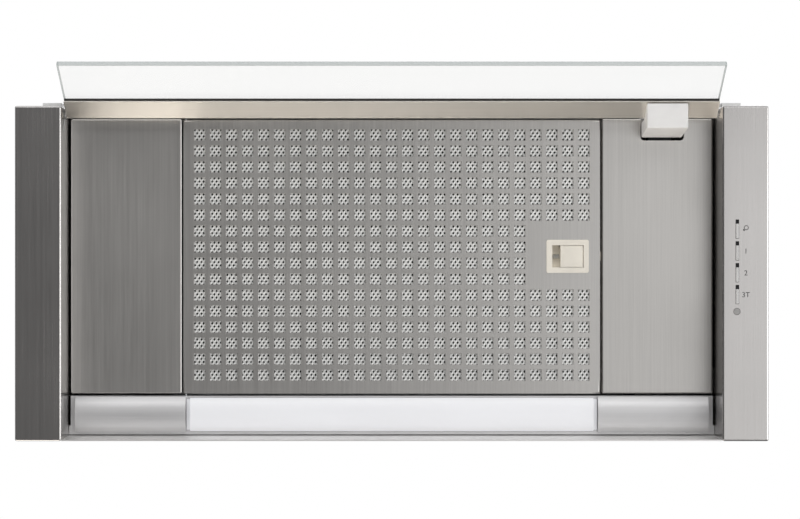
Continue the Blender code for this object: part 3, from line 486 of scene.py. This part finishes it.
def make_expanded_mesh():
    """The filter pack: a diamond mesh in front and behind, and between them a bedding whose
    near-black colour is painted shade.
    """
    low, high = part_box("filter_mesh")
    latch_low, latch_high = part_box("latch_frame")
    clear = MESH_CLEAR
    level = low.z + MESH_DEPTH
    across = int((high.x - low.x - 2 * clear) / STRAND_PITCH)
    along = int((high.y - low.y - 2 * clear) / ROW_PITCH)

    def build(shape):
        corners = {}
        for j in range(along):
            for i in range(across):
                x = low.x + clear + (i + 0.5 * (j % 2)) * STRAND_PITCH
                y = low.y + clear + (j + 0.5) * ROW_PITCH
                if x > latch_low.x - clear and latch_low.y - clear < y < latch_high.y + clear:
                    continue
                corners[i, j] = (
                    shape.verts.new((x + HOLE_HALF_X, y, level)),
                    shape.verts.new((x, y + HOLE_HALF_Y, level - TWIST)),
                    shape.verts.new((x - HOLE_HALF_X, y, level)),
                    shape.verts.new((x, y - HOLE_HALF_Y, level + TWIST)))
        for (i, j), (east, north, west, _) in corners.items():
            shift = j % 2
            upper_right = corners.get((i + shift, j + 1))
            upper_left = corners.get((i + shift - 1, j + 1))
            right = corners.get((i + 1, j))
            lower_right = corners.get((i + shift, j - 1))
            if upper_right:
                shape.faces.new((east, upper_right[3], upper_right[2], north))
            if upper_left:
                shape.faces.new((north, upper_left[0], upper_left[3], west))
            if right and upper_right and lower_right:
                shape.faces.new((east, lower_right[1], right[2], upper_right[3]))
        loose = [v for v in shape.verts if not v.link_faces]
        bmesh.ops.delete(shape, geom=loose, context="VERTS")

    layer = put("filter_expanded_mesh", build_mesh("expanded_mesh", build),
                MATERIALS["aluminium_mesh"], "filter")
    sheet = layer.modifiers.new("strand", "SOLIDIFY")
    sheet.thickness = STRAND
    sheet.offset = 0.0
    back = put("filter_mesh_back", layer.data.copy(), None, "filter")
    back.location.z = high.z + BACK_LIFT - level
    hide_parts("filter_mesh")
    # Painted shade: the bedding's near-black colour stands in for the shade deep in the filter
    # pack, seen through the mesh's holes
    dark = aluminium("mesh_bedding_painted_shade", (0.07, 0.07, 0.065), 0.55)
    source = frame["nodes"]["filter_mesh"].data.copy()
    source.materials.clear()
    for v in source.vertices:
        if v.co.z < low.z + 0.001:
            v.co.z = low.z + BEDDING_DEPTH
    painted_shade_bedding = put("filter_mesh_painted_shade_bedding", source, dark, "filter")
    add_bevel(painted_shade_bedding, BEDDING_EDGE)
    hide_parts("filter_mesh")
    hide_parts("filter_mesh")


def make_visor_glass():
    """The pane, with green-tinted ground edges."""
    pane = skin("visor_glass")
    pane.data.materials.append(GREEN_GLASS)
    face = max(pane.data.polygons, key=lambda p: p.area).normal
    for polygon in pane.data.polygons:
        polygon.material_index = 0 if abs(polygon.normal.dot(face)) > 0.99 else 1


def beside_key(node, offset):
    """A place on the housing's underside, beside a key."""
    low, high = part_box(node)
    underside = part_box("right_side_housing")[0].z
    return Vector((high.x + offset[0], (low.y + high.y) / 2 + offset[1],
                   underside - LEGEND_HALF))


def make_legend():
    """Raised printed legends beside the keys: a lamp sign, and the fan speeds."""
    ink = moulded("legend_ink", (0.05, 0.05, 0.05), 0.6)
    for node, text in (("button_speed_1", "1"), ("button_speed_2", "2"),
                       ("button_speed_3", "3T")):
        curve = bpy.data.curves.new("legend_" + text, "FONT")
        curve.body = text
        curve.size = LEGEND_HEIGHT
        curve.extrude = LEGEND_HALF
        curve.align_x = "CENTER"
        curve.align_y = "CENTER"
        made = bpy.data.objects.new("legend_" + text, curve)
        bpy.context.scene.collection.objects.link(made)
        made.location = beside_key(node, DIGIT_FROM_KEY)
        made.rotation_euler = (math.pi, 0, 0)
        curve.materials.append(ink)
        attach(made, "hood_body")
    make_lamp_sign(ink)


def make_lamp_sign(ink):
    """A ring for the bulb, and a short slanted bar for its base."""
    centre = beside_key("button_lamp", SIGN_FROM_KEY)
    count = 20

    def build(shape):
        for z in (LEGEND_HALF, -LEGEND_HALF):
            for radius in (SIGN_OUTER, SIGN_INNER):
                for i in range(count):
                    a = 2 * math.pi * i / count
                    shape.verts.new((centre.x + radius * math.cos(a),
                                     centre.y + radius * math.sin(a), centre.z + z))
        shape.verts.ensure_lookup_table()
        v = shape.verts
        for i in range(count):
            k = (i + 1) % count
            rings = [0, count, 3 * count, 2 * count]
            for a, b in zip(rings, rings[1:] + rings[:1]):
                shape.faces.new((v[a + i], v[a + k], v[b + k], v[b + i]))
        base = Matrix.Translation(centre + Vector((-SIGN_OUTER, SIGN_OUTER, 0)))
        slant = Matrix.Rotation(math.pi / 4, 4, "Z")
        size = Matrix.Diagonal((*SIGN_BASE, 2 * LEGEND_HALF, 1))
        bmesh.ops.create_cube(shape, size=1.0, matrix=base @ slant @ size)
        bmesh.ops.recalc_face_normals(shape, faces=shape.faces)

    put("legend_lamp", build_mesh("legend_lamp", build), ink, "hood_body")


def make_latch_spring():
    """The latch spring in its finish, with its modifiers taken off and a mesh of its own."""
    spring = skin("latch_spring")
    spring.modifiers.clear()
    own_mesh(spring)


def make_rest():
    """Every other node, as the CAD shapes it, in its finish."""
    made_above = {"filter_front_plate", "filter_mesh", "visor_glass", "latch_spring"}
    for node in frame["nodes"]:
        if node not in made_above:
            skin(node)


# Stage ------------------------------------------------------------------------------

def make_floor():
    """A floor that is pale to the eye and throws little light back on the steel above it."""
    def build(shape):
        bmesh.ops.create_grid(shape, x_segments=1, y_segments=1, size=FLOOR_HALF)

    mesh = build_mesh("floor", build)
    floor = bpy.data.objects.new("floor", mesh)
    bpy.context.scene.collection.objects.link(floor)
    floor.location = (0, 0, FLOOR_LEVEL)
    pale, shader = new_material("pale_floor", FLOOR_SEEN, 0.9)
    tree = Tree(pale)
    seen = tree.node("ShaderNodeLightPath").outputs["Is Camera Ray"]
    tree.link(tree.ramp(seen, FLOOR_RETURN, FLOOR_SEEN, 0.0, 1.0), shader.inputs["Base Color"])
    mesh.materials.append(pale)


def make_world():
    """A plain white backdrop that lights the object from above more than from below."""
    world = bpy.data.worlds.new("studio")
    bpy.context.scene.world = world
    world.use_nodes = True
    nodes, links = world.node_tree.nodes, world.node_tree.links
    dim = nodes["Background"]
    dim.inputs["Color"].default_value = (0.98, 0.985, 1.0, 1.0)
    direction = nodes.new("ShaderNodeTexCoord")
    parts = nodes.new("ShaderNodeSeparateXYZ")
    links.new(direction.outputs["Generated"], parts.inputs["Vector"])
    lift = nodes.new("ShaderNodeMapRange")
    lift.inputs["From Min"].default_value = -0.25
    lift.inputs["From Max"].default_value = 0.05
    lift.inputs["To Min"].default_value = WORLD_BELOW
    lift.inputs["To Max"].default_value = WORLD_ABOVE
    links.new(parts.outputs["Z"], lift.inputs["Value"])
    links.new(lift.outputs["Result"], dim.inputs["Strength"])
    white = nodes.new("ShaderNodeBackground")
    white.inputs["Color"].default_value = (1.0, 1.0, 1.0, 1.0)
    white.inputs["Strength"].default_value = 1.0
    path = nodes.new("ShaderNodeLightPath")
    either = nodes.new("ShaderNodeMath")
    either.operation = "MAXIMUM"
    links.new(path.outputs["Is Camera Ray"], either.inputs[0])
    links.new(path.outputs["Is Transmission Ray"], either.inputs[1])
    mix = nodes.new("ShaderNodeMixShader")
    links.new(either.outputs["Value"], mix.inputs["Fac"])
    links.new(dim.outputs["Background"], mix.inputs[1])
    links.new(white.outputs["Background"], mix.inputs[2])
    links.new(mix.outputs["Shader"], nodes["World Output"].inputs["Surface"])


def soft_light(name, place, target, size, radiance, colour=(1, 1, 1)):
    """A rectangular softbox; its power follows from its size and brightness."""
    data = bpy.data.lights.new(name, "AREA")
    data.shape = "RECTANGLE"
    data.size, data.size_y = size
    data.energy = radiance * size[0] * size[1] * math.pi
    data.color = colour
    made = bpy.data.objects.new(name, data)
    bpy.context.scene.collection.objects.link(made)
    made.location = place
    aim = Vector(target) - Vector(place)
    made.rotation_euler = aim.to_track_quat("-Z", "Y").to_euler()


def make_lights():
    soft_light("key_right", (1.5, 0.2, -2.85), (0.1, 0, -0.15), (1.6, 2.8), 0.97)
    soft_light("cook_side", (0.2, -2.4, -2.5), MIDDLE, (5.0, 2.6), 1.6)
    soft_light("side_glint", (3.2, 0.1, -1.5), MIDDLE, (1.4, 3.0), 3.0)
    soft_light("top_fill", (0.6, -1.2, 2.4), (0, 0, 0), (2.2, 2.2), 1.4)
    soft_light("front_fill", (-0.9, -2.6, -0.2), (0, 0, -0.1), (1.6, 1.2), 1.2)
    soft_light("rail_glow", (-1.3, 2.6, -1.1), MIDDLE, (3.4, 1.8), 3.2, (1.0, 0.95, 0.88))


def make_camera():
    """Straight below the hood, looking up, with the cook's side at the top of the frame."""
    data = bpy.data.cameras.new("camera")
    data.lens = FOCAL_LENGTH
    data.sensor_width = 36.0
    data.shift_x, data.shift_y = CAMERA_SHIFT
    camera = bpy.data.objects.new("camera", data)
    bpy.context.scene.collection.objects.link(camera)
    camera.location = CAMERA_AT
    camera.rotation_euler = (math.pi, 0, 0)
    bpy.context.scene.camera = camera
    bpy.context.scene.view_settings.view_transform = "Standard"


make_camera()
make_lights()
make_floor()
make_world()
make_front_plate()
make_expanded_mesh()
make_visor_glass()
make_legend()
make_latch_spring()
make_rest()
